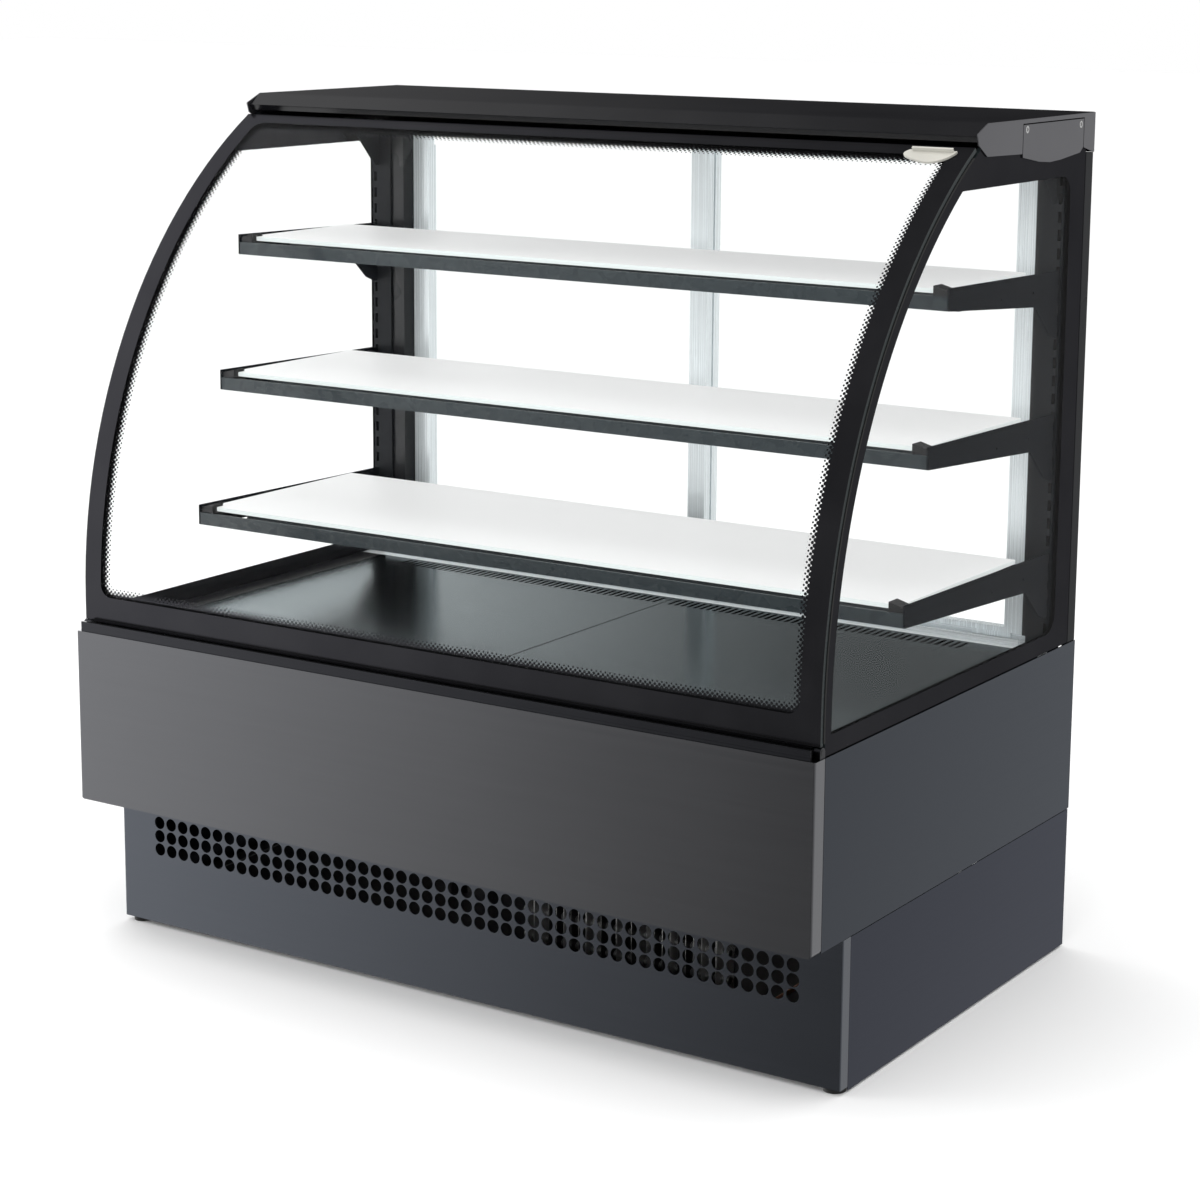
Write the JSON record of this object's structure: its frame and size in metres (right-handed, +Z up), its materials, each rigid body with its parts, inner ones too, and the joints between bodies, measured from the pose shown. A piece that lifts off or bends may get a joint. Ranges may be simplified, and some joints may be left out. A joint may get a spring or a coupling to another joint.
{
  "type": "bakery display case",
  "caption": "Refrigerated bakery display case with tilting curved front glass, opal shelves over a cooled deck, rear sliding doors and a condensing unit behind a perforated plinth.",
  "frame": {"origin": "middle of the footprint at floor level, under the levelling feet", "axes": "+Z up, -Y towards the customer (the curved front glass), +X to the right seen from the front"},
  "size_m": [1.2, 0.76, 1.2],
  "materials": {
    "dark_brushed_steel": "dark vertical and horizontal brushed sheet",
    "frame_steel": "galvanised and painted",
    "black_paint": "satin powder coat",
    "gloss_black": "semi-gloss",
    "grey_metallic": "metallic grey, satin",
    "bracket_paint": "satin",
    "foam": "foam in skin",
    "stainless": "brushed",
    "deck_stainless": "dark brushed, reflective",
    "clear_glass": "clear with black printed border",
    "opal_glass": "white opal",
    "black_rubber": "matte",
    "dark_anodised": "dark anodised",
    "clear_anodised": "satin anodised",
    "grip_plastic": "light grey satin",
    "screw_steel": "bright zinc",
    "smoked_plastic": "smoked, satin",
    "black_plastic": "fine texture",
    "grey_plastic": "fine texture",
    "green_plastic": "lit rocker",
    "dark_lens": "smoked",
    "fin_aluminium": "mill",
    "copper": "bare copper"
  },
  "bodies": {
    "cabinet": {"base_frame": "frame_steel", "base_tray": "frame_steel", "bumper_front_panel": "dark_brushed_steel", "ceiling_panel": "black_paint", "compressor": "black_paint", "condenser_coil": "fin_aluminium", "control_bezel": "black_plastic", "cover_screws": "screw_steel", "deck_pan_left": "deck_stainless", "deck_pan_right": "deck_stainless", "deck_rim": "black_paint", "display_lens": "dark_lens", "door_tracks": "clear_anodised", "evaporator_coil": "fin_aluminium", "fan_motors": "frame_steel", "fan_shroud": "frame_steel", "hinge_blocks": "dark_anodised", "insulation_tub": "foam", "led_light": "clear_anodised", "plinth_front_panel": "dark_brushed_steel", "plinth_side_panels": "dark_brushed_steel", "power_inlet": "black_plastic", "rear_grille_panel": "black_paint", "rear_posts_and_jambs": "dark_anodised", "rear_upper_panel": "black_paint", "refrigerant_lines": "copper", "roof_panel": "gloss_black", "roof_side_covers": "grey_metallic", "shelf_brackets": "bracket_paint", "shelf_clips": "black_plastic", "shelf_glass_lower": "opal_glass", "shelf_glass_middle": "opal_glass", "shelf_glass_upper": "opal_glass", "shelf_rails": "bracket_paint", "shelf_uprights": "black_paint", "side_glasses": "clear_glass", "side_seals": "black_rubber", "ticket_strips": "smoked_plastic", "upper_side_panels": "dark_brushed_steel", "well_liner": "stainless"},
    "front_glass_door": {"front_glass": "clear_glass", "glass_hinge_profile": "dark_anodised", "hinge_pins": "stainless", "glass_grip": "grip_plastic"},
    "right_door": {"right_door_frame": "clear_anodised", "right_door_glass": "clear_glass"},
    "left_door": {"left_door_frame": "clear_anodised", "left_door_glass": "clear_glass"},
    "condenser_fan_wheel": {"condenser_fan": "black_plastic"},
    "evaporator_fan_wheel_left": {"evaporator_fan_left": "black_plastic"},
    "evaporator_fan_wheel_right": {"evaporator_fan_right": "black_plastic"},
    "power_rocker": {"power_switch": "green_plastic"},
    "light_rocker": {"light_switch": "black_plastic"},
    "set_key": {"button_set": "grey_plastic"},
    "up_key": {"button_up": "grey_plastic"},
    "down_key": {"button_down": "grey_plastic"},
    "front_left_foot": {"foot_front_left": "black_rubber"},
    "front_right_foot": {"foot_front_right": "black_rubber"},
    "rear_left_foot": {"foot_rear_left": "black_rubber"},
    "rear_right_foot": {"foot_rear_right": "black_rubber"}
  },
  "joints": [
    {"name": "front_glass_tilt", "type": "hinge", "parent": "cabinet", "child": "front_glass_door", "pos_m": [0, -0.36, 0.464], "axis": [1, 0, 0], "range_deg": [0, 50]},
    {"name": "right_door_slide", "type": "slide", "parent": "cabinet", "child": "right_door", "axis": [1, 0, 0], "range_m": [-0.5, 0]},
    {"name": "left_door_slide", "type": "slide", "parent": "cabinet", "child": "left_door", "axis": [1, 0, 0], "range_m": [0, 0.5]},
    {"name": "condenser_fan_spin", "type": "hinge", "parent": "cabinet", "child": "condenser_fan_wheel", "pos_m": [0.24, -0.18, 0.15], "axis": [0, 1, 0], "continuous": true},
    {"name": "evaporator_fan_left_spin", "type": "hinge", "parent": "cabinet", "child": "evaporator_fan_wheel_left", "pos_m": [-0.26, -0.08, 0.388], "axis": [0, 1, 0], "continuous": true},
    {"name": "evaporator_fan_right_spin", "type": "hinge", "parent": "cabinet", "child": "evaporator_fan_wheel_right", "pos_m": [0.26, -0.08, 0.388], "axis": [0, 1, 0], "continuous": true},
    {"name": "power_switch_rock", "type": "hinge", "parent": "cabinet", "child": "power_rocker", "pos_m": [-0.425, 0.372, 0.385], "axis": [1, 0, 0], "range_deg": [0, 14]},
    {"name": "light_switch_rock", "type": "hinge", "parent": "cabinet", "child": "light_rocker", "pos_m": [-0.401, 0.372, 0.385], "axis": [1, 0, 0], "range_deg": [0, 14]},
    {"name": "set_key_press", "type": "slide", "parent": "cabinet", "child": "set_key", "axis": [0, -1, 0], "range_m": [0, 0.0008], "stiffness_N_per_m": 150},
    {"name": "up_key_press", "type": "slide", "parent": "cabinet", "child": "up_key", "axis": [0, -1, 0], "range_m": [0, 0.0008], "stiffness_N_per_m": 150},
    {"name": "down_key_press", "type": "slide", "parent": "cabinet", "child": "down_key", "axis": [0, -1, 0], "range_m": [0, 0.0008], "stiffness_N_per_m": 150},
    {"name": "front_left_foot_turn", "type": "hinge", "parent": "cabinet", "child": "front_left_foot", "pos_m": [-0.58, -0.275, 0], "axis": [0, 0, 1], "continuous": true},
    {"name": "front_right_foot_turn", "type": "hinge", "parent": "cabinet", "child": "front_right_foot", "pos_m": [0.58, -0.275, 0], "axis": [0, 0, 1], "continuous": true},
    {"name": "rear_left_foot_turn", "type": "hinge", "parent": "cabinet", "child": "rear_left_foot", "pos_m": [-0.58, 0.355, 0], "axis": [0, 0, 1], "continuous": true},
    {"name": "rear_right_foot_turn", "type": "hinge", "parent": "cabinet", "child": "rear_right_foot", "pos_m": [0.58, 0.355, 0], "axis": [0, 0, 1], "continuous": true}
  ]
}
